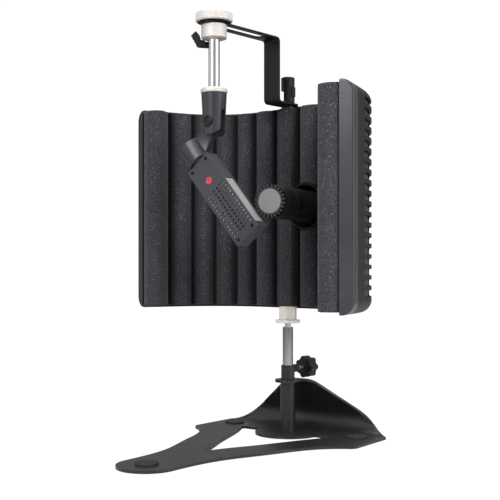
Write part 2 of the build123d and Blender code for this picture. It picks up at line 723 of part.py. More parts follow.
def rear_clamp():
    """Foot plate on the shell's back, a short arm and a split ring round the microphone."""
    x, y = rear_axis(CLAMP_BACK)
    half = CLAMP_PLATE_HALF
    foot_plate = block(-22, 1.5, BACK_Y + 0.1, BACK_Y + 4, PORT_Z - half, PORT_Z + half)
    foot_plate = fillet(foot_plate.edges().filter_by(Axis.Y), 6.0)
    arm = block(-16, 8, BACK_Y + 3, y + 4, PORT_Z - 12, PORT_Z + 10)
    ring = rear_place() * rod(CLAMP_R, -CLAMP_BACK - CLAMP_W / 2, -CLAMP_BACK + CLAMP_W / 2)
    ears = rear_place() * Box(16, 26, CLAMP_W)
    ears = Pos(x - REAR_X_FRONT, y - REAR_Y_FRONT, CLAMP_R) * ears
    body = foot_plate + arm + ring + ears
    body -= rear_place() * rod(REAR_R + RUNNING, -REAR_LENGTH - 40, 10)
    split = rear_place() * Box(2, 30, CLAMP_W + 2)
    body -= Pos(x - REAR_X_FRONT, y - REAR_Y_FRONT, CLAMP_R + 4) * split
    body -= clamp_screw_solid(2.05, 30)
    return body - [rod_y(SCREW_R + 0.1, 20, 60, CLAMP_SCREW_X, z) for z in CLAMP_SCREW_Z]


def clamp_screw_solid(radius, length):
    """Rod across the ring's ears."""
    rod_across = Rot(0, 90, 0) * rod(radius, -length / 2, length / 2)
    return rear_place() * Pos(0, CLAMP_R + 7, -CLAMP_BACK) * rod_across


def clamp_thumb_screw():
    wing = Rot(0, 90, 0) * rod(6.0, 8.2, 13.0)
    cuts = ring_of(12, rod(1.2, -20, 20, x=6.4))
    wing -= [Rot(0, 90, 0) * cut for cut in cuts]
    return clamp_screw_solid(2.0, 18.0) + rear_place() * Pos(0, CLAMP_R + 7, -CLAMP_BACK) * wing


def build_shield():
    trim = end_trim()
    save("outer_shell", outer_shell())
    save("right_end_trim", trim)
    save("left_end_trim", mirror(trim, about=Plane.YZ))
    save("punched_sheet", layer(SHEET_DEPTH, SHEET_T))
    save("felt_layer", layer(FELT_DEPTH, FELT_T))
    save("foam_liner", foam_liner())
    save("port_liner", port_liner())
    save("spine", spine())
    save("shell_screws", group([back_screw(0, z, BACK_Y) for z in SHELL_SCREW_Z]))
    clamp_screws = [back_screw(CLAMP_SCREW_X, z, BACK_Y + 4) for z in CLAMP_SCREW_Z]
    save("rear_clamp_screws", group(clamp_screws))
    save("rear_clamp", rear_clamp())
    save("rear_clamp_thumb_screw", clamp_thumb_screw())


# ------------------------------------------------------------------ top bracket
def top_bracket():
    """One flat bar bent twice: foot on the shield, riser, slotted arm over the hollow."""
    foot_top = SHIELD_TOP + BAR_T
    arm_low = BRACKET_TOP - BAR_T
    half = BAR_W / 2
    slot_start = NUT_Y - BAR_END_ROOM
    tip = slot_start - half
    front = RISER_Y - BAR_T / 2
    back = RISER_Y + BAR_T / 2
    side = [(FOOT_REAR_Y, SHIELD_TOP), (FOOT_REAR_Y, foot_top), (back, foot_top)]
    side += [(back, BRACKET_TOP), (tip, BRACKET_TOP), (tip, arm_low)]
    side += [(front, arm_low), (front, SHIELD_TOP)]
    profile = make_face(Polyline(*side, close=True))
    bar = extrude(Plane.YZ * profile, half, both=True)
    outer_bends = [(front, SHIELD_TOP), (back, BRACKET_TOP)]
    inner_bends = [(back, foot_top), (front, arm_low)]
    for places, radius in ((outer_bends, BEND_OUT), (inner_bends, BEND_OUT - BAR_T)):
        for y, z in places:
            edges = bar.edges().filter_by(Axis.X)
            nearest = sorted(edges, key=lambda e: abs((e @ 0.5).Y - y) + abs((e @ 0.5).Z - z))[0]
            bar = fillet(nearest, radius)
    ends = bar.edges().filter_by(Axis.Z)
    bar = fillet(ends.group_by(Axis.Y)[0], half - 0.05)
    ends = bar.edges().filter_by(Axis.Z)
    bar = fillet(ends.group_by(Axis.Y)[-1], half - 0.05)
    slot_length = BAR_SLOT_END - slot_start
    slot = SlotCenterToCenter(slot_length, BAR_SLOT_W)
    slot = Pos(0, slot_start + slot_length / 2, arm_low - 1) * Rot(0, 0, 90) * extrude(slot, BAR_T + 2)
    return bar - slot - rod(FOOT_BOLT_R + RUNNING, SHIELD_TOP - 1, foot_top + 1)


def foot_bolt():
    low = SHIELD_TOP - CASE_WALL - 0.3 - SPINE_T
    head = Pos(0, 0, low - 5) * extrude(RegularPolygon(BOLT_HEAD_R, 6, major_radius=False), 5)
    return head + rod(FOOT_BOLT_R, low, SHIELD_TOP + BAR_T + 24)


def foot_washer():
    low = SHIELD_TOP - CASE_WALL - 0.3
    return rod(WASHER_R, low, SHIELD_TOP) - rod(FOOT_BOLT_R + 0.02, low - 1, SHIELD_TOP + 1)


def foot_lever():
    """Moulded thumb lever: a post, a round cap and a skirt down one side of it."""
    low = SHIELD_TOP + BAR_T + FOOT_LEVER_GAP
    post = rod(6.5, low, low + 24)
    cap = rod(LEVER_CAP_R, low + 20, low + LEVER_CAP_H)
    cap = fillet(cap.edges().group_by(Axis.Z)[-1], 1.5)
    skirt = rod(LEVER_CAP_R, low + 2, low + 21) - rod(LEVER_CAP_R - 3, low + 1, low + 22)
    skirt -= block(-20, 1.5, -20, 20, low, low + 20)
    ear = block(LEVER_CAP_R - 2, LEVER_CAP_R + 1.4, -4, 4, low + 10, low + 25)
    ear = fillet(ear.edges().filter_by(Axis.Y), 1.0)
    lever = post + cap + skirt + ear
    return lever - rod(FOOT_BOLT_R + RUNNING, low - 1, low + 25)


def build_bracket():
    save("top_bracket", top_bracket())
    save("foot_bolt", foot_bolt())
    save("foot_washer", foot_washer())
    save("foot_lever", foot_lever())


# ------------------------------------------------------------------ carriage
def at_nut(shape):
    return Pos(0, NUT_Y, 0) * shape


def carriage_stud():
    """Stud with a round shoulder that rides in the arm's slot."""
    stud = rod(STUD_R, COLLAR_BORE_TOP + 1, DISC_TOP - 4)
    return at_nut(stud + rod(BAR_SLOT_W / 2 - 0.1, BRACKET_TOP - BAR_T, BRACKET_TOP))


def slot_washer():
    washer = rod(SLOT_WASHER_R, BRACKET_TOP, DISC_LOW)
    return at_nut(washer - rod(STUD_R + 0.02, BRACKET_TOP - 1, DISC_LOW + 1))


def disc_nut():
    disc = knurled_disc(DISC_R, DISC_LOW, DISC_TOP, 64, 0.9, 1.6)
    disc -= rod(9.0, DISC_TOP - 1.2, DISC_TOP + 1)
    return at_nut(disc - rod(STUD_R + RUNNING, DISC_LOW - 1, DISC_TOP - 3.5))


def tube_collar():
    top = BRACKET_TOP - BAR_T
    collar = rod(COLLAR_R, COLLAR_LOW, top)
    collar = chamfer(collar.edges(), 0.8)
    collar -= rod(STUD_R, COLLAR_BORE_TOP + 1, top + 1)
    collar -= rod(CLIP_TUBE_R + RUNNING, COLLAR_LOW - 1, COLLAR_BORE_TOP)
    collar = at_nut(collar)
    return collar - rod(LEVER_PIN_R, COLLAR_LOW - 1, COLLAR_LOW + 8, LEVER_PIN_X, LEVER_PIN_Y)


def lever_pin():
    return rod(LEVER_PIN_R, LEVER_LOW - 0.5, COLLAR_LOW + 8, LEVER_PIN_X, LEVER_PIN_Y)


def collar_lever():
    """Stem under the collar that swings on the pin, with an upright ribbed paddle."""
    top = LEVER_LOW + LEVER_STEM_T
    place = Pos(LEVER_PIN_X, LEVER_PIN_Y, LEVER_LOW) * Rot(0, 0, LEVER_HEADING)
    stem = place * lever_stem(LEVER_REACH, LEVER_STEM_T)
    paddle = place * Pos(LEVER_REACH, 0, 1) * lever_paddle()
    return stem + paddle - rod(LEVER_PIN_R + RUNNING, LEVER_LOW - 1, top + 1, LEVER_PIN_X, LEVER_PIN_Y)


def lever_stem(reach, thickness):
    hub = Circle(4.6)
    bar = Pos(reach / 2, 0) * Rectangle(reach, 6.6)
    stem = extrude(hub + bar, thickness)
    return stem


def lever_paddle():
    """Paddle that leans outwards; local +X is away from the pin."""
    side = [(-7.0, 0.0), (1.5, 0.0), (11.0, 16.0), (6.0, 20.5), (0.5, 14.0), (-1.0, 8.5), (-7.0, 8.0)]
    face = make_face(Polyline(*side, close=True))
    face = fillet(face.vertices(), 1.2)
    paddle = extrude(Plane.XZ * face, 6.0, both=True)
    grooves = []
    for i in range(3):
        grooves.append(Pos(4.6 + i * 2.5, 0, 5.2 + i * 4.2) * Rot(90, 0, 0) * Cylinder(0.8, 14.0))
    return paddle - grooves


def clip_tube():
    """Chrome tube that hangs from the collar and ends inside the fork."""
    low = FORK_CROTCH + 8
    tube = rod(CLIP_TUBE_R, low, COLLAR_BORE_TOP - 0.5)
    return at_nut(tube - rod(CLIP_TUBE_R - 1.5, low - 1, COLLAR_BORE_TOP))


def adapter_ring():
    ring = rod(RING_R, RING_Z, RING_Z + RING_T)
    ring = chamfer(ring.edges().group_by(Axis.Z)[-1], 2.6)
    ring = chamfer(ring.edges().group_by(Axis.Z)[0], 0.8)
    return at_nut(ring - rod(CLIP_TUBE_R + 0.01, RING_Z - 1, RING_Z + RING_T + 1))


def at_clip(shape):
    """Place a shape that is built round the hanging tube's axis, turned with the clip."""
    return Pos(0, NUT_Y, 0) * Rot(0, 0, CLIP_TURN) * shape


def clip_fork():
    """Tapered fork: solid top, two tines, a round lower end and spot faces for the pivot."""
    height = RING_Z - FORK_LOW
    cone = Cone(FORK_R_LOW, FORK_R_TOP, height, align=(Align.CENTER, Align.CENTER, Align.MIN))
    fork = Pos(0, 0, FORK_LOW) * cone
    swing = rod_y(18.0, -30, 30, 0, PIVOT_Z) + block(-30, 30, -30, 30, PIVOT_Z, RING_Z + 1)
    fork = fork & swing
    fork -= block(-30, 30, -FORK_GAP / 2, FORK_GAP / 2, FORK_LOW - 1, FORK_CROTCH)
    fork -= rod_y(PIVOT_HEAD_R + 1, -30, -SPOT_FACE, 0, PIVOT_Z)
    fork -= rod_y(PIVOT_HEAD_R + 1, SPOT_FACE, 30, 0, PIVOT_Z)
    fork -= rod_y(PIVOT_R + 0.02, -30, 30, 0, PIVOT_Z)
    fork -= rod(CLIP_TUBE_R + 0.01, FORK_CROTCH + 8, RING_Z + 1)
    return at_clip(fork)


def clip_pivot_screw():
    head = rod_y(PIVOT_HEAD_R, -SPOT_FACE - 3.2, -SPOT_FACE, 0, PIVOT_Z)
    head = fillet(head.edges().group_by(Axis.Y)[0], 1.2)
    screw = head + rod_y(PIVOT_R, -SPOT_FACE, SPOT_FACE + 4.5, 0, PIVOT_Z)
    drive = Pos(0, -SPOT_FACE - 3.2, PIVOT_Z) * Rot(0, 35, 0) * Box(16, 3.0, 1.6)
    return at_clip(screw - drive)


def clip_pivot_nut():
    nut = extrude(RegularPolygon(6.2, 6, major_radius=False), 4)
    nut = Pos(0, SPOT_FACE, PIVOT_Z) * Rot(-90, 0, 0) * nut
    return at_clip(nut - rod_y(PIVOT_R + 0.01, 0, 30, 0, PIVOT_Z))


def mic_place():
    """From the ribbon microphone's own frame to the object's frame."""
    return Pos(0, NUT_Y, 0) * Rot(0, 0, CLIP_TURN) * Pos(MIC_X, 0, MIC_Z) * Rot(0, MIC_TILT, 0)


def pivot_in_mic():
    """The clip's pivot, seen in the microphone's own frame, as (x, z)."""
    tilt = radians(MIC_TILT)
    x, z = -MIC_X, PIVOT_Z - MIC_Z
    return (x * cos(tilt) - z * sin(tilt), x * sin(tilt) + z * cos(tilt))


def clip_holder():
    """Barrel round the microphone's tail, a flat arm and the knuckle in the fork."""
    px, pz = pivot_in_mic()
    barrel = rod(BARREL_R, BARREL_LOW, BARREL_TOP)
    barrel = fillet(barrel.edges(), 1.6)
    root = Pos(10, (BARREL_LOW + BARREL_TOP) / 2) * Rectangle(4, BARREL_TOP - BARREL_LOW - 4)
    knuckle = Pos(px, pz) * Circle(KNUCKLE_R)
    arm = make_hull((root.edges() + knuckle.edges()))
    arm = extrude(Plane.XZ * arm, KNUCKLE_T / 2, both=True)
    holder = barrel + arm
    holder -= rod(TAIL_R + 0.08, BARREL_LOW - 5, BARREL_TOP + 5)
    holder -= rod_y(PIVOT_R + RUNNING, -20, 20, px, pz)
    return mic_place() * holder


def build_carriage():
    save("carriage_stud", carriage_stud())
    save("slot_washer", slot_washer())
    save("disc_nut", disc_nut())
    save("tube_collar", tube_collar())
    save("lever_pin", lever_pin())
    save("collar_lever", collar_lever())
    save("clip_tube", clip_tube())
    save("adapter_ring", adapter_ring())
    save("clip_fork", clip_fork())
    save("clip_pivot_screw", clip_pivot_screw())
    save("clip_pivot_nut", clip_pivot_nut())
    save("clip_holder", clip_holder())


# ------------------------------------------------------------------ ribbon microphone
INSIDE_Y = MIC_DEPTH / 2 - MIC_PLATE_T


def mic_screw_places():
    return [(x, z) for x in (-MIC_SCREW_X, MIC_SCREW_X) for z in (-MIC_SCREW_Z, MIC_SCREW_Z)]


def mic_plate():
    """Front plate in the microphone's own frame, pierced by rows of round holes."""
    plate = block(-PLATE_W / 2, PLATE_W / 2, -MIC_DEPTH / 2, -INSIDE_Y, -PLATE_L / 2, PLATE_L / 2)
    plate = fillet(plate.edges().filter_by(Axis.Y), 1.5)
    plate = chamfer(plate.faces().sort_by(Axis.Y)[0].edges(), 0.5)
    holes = []
    for column in range(HOLE_COLUMNS):
        x = (column - (HOLE_COLUMNS - 1) / 2) * HOLE_DX
        for row in range(HOLE_ROWS):
            z = HOLE_TOP_Z - row * HOLE_DZ
            holes.append(rod_y(HOLE_R, -20, 0, x, z))
    for x, z in mic_screw_places():
        holes.append(rod_y(1.6, -20, 0, x, z))
        holes.append(rod_y(2.9, -20, -MIC_DEPTH / 2 + 1.3, x, z))
    return plate - holes


def mic_plate_screw(x, z):
    """Small socket-head screw, sunk into the front plate."""
    screw = rod_y(1.55, -MIC_DEPTH / 2 + 1.3, -INSIDE_Y + 5, x, z)
    screw += rod_y(2.7, -MIC_DEPTH / 2 - 0.3, -MIC_DEPTH / 2 + 1.3, x, z)
    socket = Pos(x, -MIC_DEPTH / 2 - 0.4, z) * Rot(-90, 0, 0) * extrude(RegularPolygon(1.3, 6), 1.2)
    return screw - socket


def ribbon_housing():
    """Upper and lower blocks, joined by four slim corner posts."""
    half = PLATE_W / 2 - 1.2
    upper = block(-half, half, -INSIDE_Y, INSIDE_Y, MESH_TOP + 0.5, PLATE_L / 2)
    upper -= block(-half + 4, half - 4, -INSIDE_Y + 3, INSIDE_Y - 3, MESH_TOP - 1, PLATE_L / 2 - 8)
    lower = block(-half, half, -INSIDE_Y, INSIDE_Y, -PLATE_L / 2, MESH_LOW - 0.5)
    housing = upper + lower
    for x in (-half + 3.5, half - 3.5):
        for y in (-INSIDE_Y + 2.5, INSIDE_Y - 2.5):
            housing += rod(1.2, MESH_LOW - 2, MESH_TOP + 2, x, y)
    for x, z in mic_screw_places():
        housing -= rod_y(1.55, -20, -INSIDE_Y + 6, x, z)
        housing -= rod_y(1.55, INSIDE_Y - 6, 20, x, z)
    return housing - rod(6.05, PLATE_L / 2 - 10, PLATE_L / 2 + 1)


def ribbon_mesh():
    half = PLATE_W / 2 - 1.6
    outer = block(-half, half, -INSIDE_Y + 0.1, INSIDE_Y - 0.1, MESH_LOW, MESH_TOP)
    inner = block(-half + 0.8, half - 0.8, -INSIDE_Y + 0.9, INSIDE_Y - 0.9, MESH_LOW - 1, MESH_TOP + 1)
    return outer - inner


def ribbon_magnets():
    return [block(side - 3.2, side + 3.2, -6, 6, -50, 10) for side in (-6.5, 6.5)]


def ribbon_yoke():
    return [block(-9.7, 9.7, -6, 6, z, z + 4) for z in (-54.2, 10.2)]


def ribbon_element():
    """Corrugated foil between the magnets, with a clamp at each end."""
    foil = block(-2.4, 2.4, -0.15, 0.15, -46, 6)
    clamps = block(-2.8, 2.8, -2, 2, -50, -46) + block(-2.8, 2.8, -2, 2, 6, 10)
    return foil + clamps


def ribbon_tail():
    tail = rod(TAIL_R, PLATE_L / 2 + 0.05, TAIL_END)
    tail += rod(6.0, PLATE_L / 2 - 8, PLATE_L / 2 + 1)
    tail = chamfer(tail.edges().group_by(Axis.Z)[-1], 0.8)
    return tail - rod(9.6, TAIL_END - 16, TAIL_END + 1)


def three_pin_insert(radius, low, pins_to):
    insert = rod(radius, low, low + 4)
    for i in range(3):
        insert += Rot(0, 0, i * 120) * rod(1.2, low + 3, pins_to, x=radius * 0.5)
    return insert


def build_ribbon_mic():
    place = mic_place()
    turned = Rot(0, 0, 180)
    front = mic_plate()
    screws = [mic_plate_screw(x, z) for x, z in mic_screw_places()]
    save("ribbon_front_plate", place * front)
    save("ribbon_back_plate", place * turned * front)
    save("ribbon_plate_screws", group([place * s for s in screws] + [place * turned * s for s in screws]))
    save("ribbon_housing", place * ribbon_housing())
    save("ribbon_mesh", place * ribbon_mesh())
    save("ribbon_magnets", group([place * s for s in ribbon_magnets()]))
    save("ribbon_yoke", group([place * s for s in ribbon_yoke()]))
    save("ribbon_element", place * ribbon_element())
    save("ribbon_tail", place * ribbon_tail())
    save("ribbon_connector", place * three_pin_insert(9.58, TAIL_END - 16, TAIL_END - 3))


# ------------------------------------------------------------------ rear microphone
def rear_mic_body():
    body = rod(REAR_R, -REAR_LENGTH, -HEAD_LENGTH - 1.4)
    body = fillet(body.edges().group_by(Axis.Z)[0], 3.0)
    body -= rod(REAR_R - 3, -REAR_LENGTH + 30, -HEAD_LENGTH)
    return body - rod(9.6, -REAR_LENGTH - 1, -REAR_LENGTH + 16)


def rear_mic_shoulder_ring():
    ring = rod(REAR_R - 0.2, -HEAD_LENGTH - 1.4, -HEAD_LENGTH)
    return ring - rod(REAR_R - 3, -HEAD_LENGTH - 3, -HEAD_LENGTH + 1)


def rear_mic_head():
    """Head shell between the shoulder ring and the toothed ring."""
    head = rod(REAR_R, -HEAD_LENGTH, -TOOTH_RING_T)
    head -= rod(REAR_R - 2.4, -HEAD_LENGTH - 1, -TOOTH_RING_T - 2)
    return head - rod(GRILLE_R - 3, -HEAD_LENGTH, 0)


def rear_mic_tooth_ring():
    """Front ring whose rim is cut into radial teeth."""
    ring = rod(REAR_R - 0.6, -TOOTH_RING_T, -1.0)
    ring -= rod(GRILLE_R + 0.1, -4, 1)
    ring -= rod(GRILLE_R - 3, -20, 1)
    gap = block(GRILLE_R + 2.2, REAR_R + 3, -1.2, 1.2, -TOOTH_RING_T + 2.0, 2)
    return ring - ring_of(REAR_TEETH, gap)


def rear_mic_grille():
    grille = rod(GRILLE_R, -4, 0)
    return fillet(grille.edges().group_by(Axis.Z)[-1], 0.8)


def rear_mic_capsule():
    return rod(GRILLE_R - 3.4, -34, -5) + rod(REAR_R - 2.6, -40, -34)


def build_rear_mic():
    place = rear_place()
    save("rear_mic_body", place * rear_mic_body())
    save("rear_mic_shoulder_ring", place * rear_mic_shoulder_ring())
    save("rear_mic_head", place * rear_mic_head())
    save("rear_mic_tooth_ring", place * rear_mic_tooth_ring())
    save("rear_mic_grille", place * rear_mic_grille())
    save("rear_mic_capsule", place * rear_mic_capsule())
    insert = Pos(0, 0, -REAR_LENGTH + 16) * Rot(180, 0, 0) * three_pin_insert(9.58, 0, 12)
    save("rear_mic_connector", place * insert)


os.makedirs("parts", exist_ok=True)
build_base()
build_pole()
build_shield()
build_bracket()
build_carriage()
build_ribbon_mic()
build_rear_mic()
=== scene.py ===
import json
import math

import bmesh
import bpy
import numpy as np
from mathutils import Matrix, Vector, noise


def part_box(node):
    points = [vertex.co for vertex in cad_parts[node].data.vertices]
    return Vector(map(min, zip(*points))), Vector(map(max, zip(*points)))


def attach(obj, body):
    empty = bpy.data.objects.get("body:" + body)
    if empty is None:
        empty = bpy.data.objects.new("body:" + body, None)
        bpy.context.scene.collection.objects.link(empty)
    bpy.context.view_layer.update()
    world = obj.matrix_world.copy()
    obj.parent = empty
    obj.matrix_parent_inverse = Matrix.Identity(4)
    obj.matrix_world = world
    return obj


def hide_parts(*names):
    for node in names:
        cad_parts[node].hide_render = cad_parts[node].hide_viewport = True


# Looks of the free-standing reflection filter, in metres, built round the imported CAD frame.

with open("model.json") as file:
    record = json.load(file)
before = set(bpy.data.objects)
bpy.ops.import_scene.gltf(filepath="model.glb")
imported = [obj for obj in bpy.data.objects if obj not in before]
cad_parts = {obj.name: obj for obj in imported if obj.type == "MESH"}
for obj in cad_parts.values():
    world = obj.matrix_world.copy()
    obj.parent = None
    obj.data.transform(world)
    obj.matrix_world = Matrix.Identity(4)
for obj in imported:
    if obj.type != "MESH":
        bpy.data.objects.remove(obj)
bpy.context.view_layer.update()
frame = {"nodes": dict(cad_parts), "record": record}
nodes = frame["nodes"]

MM = 0.001

# ---- sizes of the pieces that are made here
FOAM_VOXEL = 2.0 * MM
FOAM_PIT = 0.8 * MM           # depth of the foam's pitted skin
FOLD_REACH = 5.0 * MM         # half width of the crease between two lobes
FOLD_DEPTH = 7.0 * MM
FOLD_SHADE = 13.0 * MM        # how far the painted shade of a crease reaches into the foam
FOLD_TURN = math.radians(35)  # an inner corner sharper than this is a crease
FILL_HALF = 15.0 * MM         # fills the foam's pocket for the spine
FILL_FRONT = 9.3 * MM
FILL_BACK = 12.0 * MM
FILL_INSET = 1.5 * MM
BADGE_R = 5.2 * MM
BADGE_RISE = 0.7 * MM
BADGE_UP = 34.0 * MM          # above the middle of the microphone's front plate
# the badge's section, from rim to middle, as shares of its radius and rise
BADGE_RINGS = [(1.0, 0.0), (1.0, 0.7), (0.95, 1.0), (0.86, 1.0), (0.82, 0.75), (0.4, 0.95)]
BADGE_STEPS = 40
EDGE_TURN = math.radians(32)  # CAD edges sharper than this are rounded
EDGE_WELD = 0.005 * MM        # CAD vertices nearer than this are joined
PIT_WAVES = 420               # fine pits of the foam's skin, per metre
DENT_WAVES = 90               # broad dents of the foam's skin, per metre

# ---- camera, level, placed from the pole's foot
pole_low, pole_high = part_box("inner_tube")
POLE = Vector(((pole_low.x + pole_high.x) / 2, (pole_low.y + pole_high.y) / 2, 0))
CAMERA_AT = POLE + Vector((0.9475, -1.131, 0.258))
CAMERA_AZIMUTH = math.radians(42.2)
CAMERA_LENS = 69.6            # millimetres on a 36 mm wide sensor
CAMERA_SHIFT = 0.032          # keeps the upright edges upright with the horizon below the middle
RIGHT = Vector((math.cos(CAMERA_AZIMUTH), math.sin(CAMERA_AZIMUTH), 0))
AHEAD = Vector((-math.sin(CAMERA_AZIMUTH), math.cos(CAMERA_AZIMUTH), 0))

# ---- surroundings
ROOM_EDGE = (0.13, 0.24)      # half width of the dark room behind the camera, as sines
ROOM_DARK = 0.02
WORLD_SOFT = 0.30             # strength of the surroundings for soft light
WORLD_GLOSSY = 0.75           # and for reflections
FLOOR_FRONT = -6.0            # the floor runs from here to where the sweep starts
FLOOR_BACK = 2.2
SWEEP_R = 1.2                 # the floor curves up into the backdrop
SWEEP_STEPS = 12
BACKDROP_TOP = 5.0
BACKDROP_HALF = 7.0
BACKDROP_GLOW = 1.12          # keeps the backdrop white to the camera
BACKDROP_SHARE = 0.9          # the glow's share of what the camera sees

# ---- area lights: place (right, ahead, up), height aimed at, (width, height) and watts
LIGHTS = {
    "key": ((-0.9, -1.3, 1.7), 0.3, (1.0, 2.2), 34),
    "fill": ((1.6, -0.9, 0.9), 0.3, (0.9, 1.8), 9),
    "front": ((0.9, -1.5, 1.2), 0.3, (0.8, 0.8), 32),
    "top": ((0.2, 0.2, 2.4), 0.0, (2.4, 2.4), 30),
}
NOT_REFLECTED = {"front"}

# ---- colour casts and the wave texture's own unit
COOL_CAST = (0.95, 0.96, 1.14)
WARM_CAST = (1.0, 0.95, 0.9)
WAVE_TURN = 6.28


# ------------------------------------------------------------------ material helpers
class Shader:
    """One node-based material: a principled surface and the textures that feed it."""

    def __init__(self, name, colour, rough, metal=0.0, coat=0.0, sheen=0.0):
        self.material = bpy.data.materials.new(name)
        self.material.use_nodes = True
        self.tree = self.material.node_tree
        self.surface = self.tree.nodes["Principled BSDF"]
        self.surface.inputs["Base Color"].default_value = (*colour, 1.0)
        self.surface.inputs["Roughness"].default_value = rough
        self.surface.inputs["Metallic"].default_value = metal
        self.surface.inputs["Coat Weight"].default_value = coat
        self.surface.inputs["Sheen Weight"].default_value = sheen
        self.where = self.add("ShaderNodeTexCoord").outputs["Object"]
        self.height = None

    def add(self, kind, **settings):
        item = self.tree.nodes.new(kind)
        for key, value in settings.items():
            setattr(item, key, value)
        return item

    def link(self, source, target):
        self.tree.links.new(source, target)

    def stretched(self, scale):
        """Object coordinates with each axis scaled."""
        mapping = self.add("ShaderNodeMapping")
        mapping.inputs["Scale"].default_value = scale
        self.link(self.where, mapping.inputs["Vector"])
        return mapping.outputs["Vector"]

    def noise(self, scale, detail=3.0, where=None):
        item = self.add("ShaderNodeTexNoise")
        item.inputs["Scale"].default_value = scale
        item.inputs["Detail"].default_value = detail
        self.link(where or self.where, item.inputs["Vector"])
        return item.outputs["Fac"]

    def cells(self, scale):
        item = self.add("ShaderNodeTexVoronoi", feature="F1")
        item.inputs["Scale"].default_value = scale
        self.link(self.where, item.inputs["Vector"])
        return item.outputs["Distance"]

    def ramp(self, value, stops):
        """Colour ramp from (place, grey or colour) pairs."""
        item = self.add("ShaderNodeValToRGB")
        elements = item.color_ramp.elements
        while len(elements) < len(stops):
            elements.new(0.5)
        for element, (place, colour) in zip(elements, stops):
            element.position = place
            colour = (colour,) * 3 if isinstance(colour, float) else colour
            element.color = (*colour, 1.0)
        self.link(value, item.inputs["Fac"])
        return item.outputs["Color"]

    def math(self, operation, a, b):
        item = self.add("ShaderNodeMath", operation=operation)
        for index, value in enumerate((a, b)):
            if isinstance(value, (int, float)):
                item.inputs[index].default_value = value
            else:
                self.link(value, item.inputs[index])
        return item.outputs["Value"]

    def multiplied(self, one, other):
        """One colour times another."""
        item = self.add("ShaderNodeMix", data_type="RGBA", blend_type="MULTIPLY")
        item.inputs[0].default_value = 1.0
        self.link(one, item.inputs[6])
        self.link(other, item.inputs[7])
        return item.outputs[2]

    def colour(self, output):
        self.link(output, self.surface.inputs["Base Color"])

    def roughness(self, value, low, high):
        item = self.add("ShaderNodeMapRange")
        item.inputs["To Min"].default_value = low
        item.inputs["To Max"].default_value = high
        self.link(value, item.inputs["Value"])
        self.link(item.outputs["Result"], self.surface.inputs["Roughness"])

    def bump(self, value, depth, strength=1.0):
        """Adds a bump of a real depth in metres on top of any bump set before."""
        item = self.add("ShaderNodeBump")
        item.inputs["Strength"].default_value = strength
        item.inputs["Distance"].default_value = depth
        self.link(value, item.inputs["Height"])
        if self.height is not None:
            self.link(self.height, item.inputs["Normal"])
        self.height = item.outputs["Normal"]
        self.link(self.height, self.surface.inputs["Normal"])


def cool(grey):
    """A grey with a slight blue cast."""
    return tuple(grey * share for share in COOL_CAST)


def warm(grey):
    """A grey with a slight warm cast."""
    return tuple(grey * share for share in WARM_CAST)


def powder_coat():
    shader = Shader("powder_coat", (0.012, 0.012, 0.014), 0.5)
    grain = shader.noise(900.0, 4.0)
    broad = shader.noise(9.0, 2.0)
    shader.colour(shader.ramp(grain, [(0.3, cool(0.007)), (0.7, cool(0.017))]))
    shader.roughness(broad, 0.33, 0.45)
    shader.bump(grain, 0.06 * MM)
    return shader.material


def satin_paint(name, dark, light, rough, shine=0.5):
    shader = Shader(name, (dark, dark, dark), rough)
    shader.surface.inputs["Specular IOR Level"].default_value = shine
    grain = shader.noise(1600.0, 3.0)
    smudge = shader.noise(14.0, 3.0)
    shader.colour(shader.ramp(smudge, [(0.3, cool(dark)), (0.75, cool(light))]))
    shader.roughness(smudge, rough - 0.07, rough + 0.08)
    shader.bump(grain, 0.02 * MM)
    return shader.material


def moulded_plastic(name, dark, light, rough, texture=0.05 * MM, shine=0.5):
    shader = Shader(name, (dark, dark, dark), rough)
    shader.surface.inputs["Specular IOR Level"].default_value = shine
    grain = shader.cells(1300.0)
    broad = shader.noise(11.0, 2.0)
    shader.colour(shader.ramp(broad, [(0.25, cool(dark)), (0.8, cool(light))]))
    shader.roughness(broad, rough - 0.05, rough + 0.08)
    shader.bump(grain, texture)
    return shader.material


def rubber():
    shader = Shader("rubber", (0.02, 0.02, 0.02), 0.75)
    grain = shader.noise(700.0, 4.0)
    shader.colour(shader.ramp(grain, [(0.3, 0.005), (0.8, 0.014)]))
    shader.roughness(shader.noise(40.0), 0.6, 0.85)
    shader.bump(grain, 0.08 * MM)
    return shader.material


def chrome(name, dark, light):
    shader = Shader(name, (light, light, light), 0.06, metal=1.0)
    hairlines = shader.noise(60.0, 2.0, shader.stretched((14.0, 14.0, 0.5)))
    shader.roughness(hairlines, 0.05, 0.14)
    shader.colour(shader.ramp(shader.noise(20.0), [(0.3, dark), (0.7, light)]))
    return shader.material


def blasted_aluminium(name, dark, light):
    """Bead-blasted aluminium, slightly warm."""
    shader = Shader(name, (light, light, light), 0.55, metal=0.45)
    grain = shader.noise(2600.0, 3.0)
    shader.colour(shader.ramp(grain, [(0.25, warm(dark)), (0.7, warm(light))]))
    shader.roughness(grain, 0.5, 0.65)
    shader.bump(grain, 0.03 * MM)
    return shader.material


def machined_steel(name, dark, light):
    shader = Shader(name, (light, light, light), 0.3, metal=1.0)
    turned = shader.noise(900.0, 2.0)
    shader.colour(shader.ramp(turned, [(0.3, dark), (0.7, light)]))
    shader.roughness(turned, 0.22, 0.4)
    shader.bump(turned, 0.02 * MM)
    return shader.material


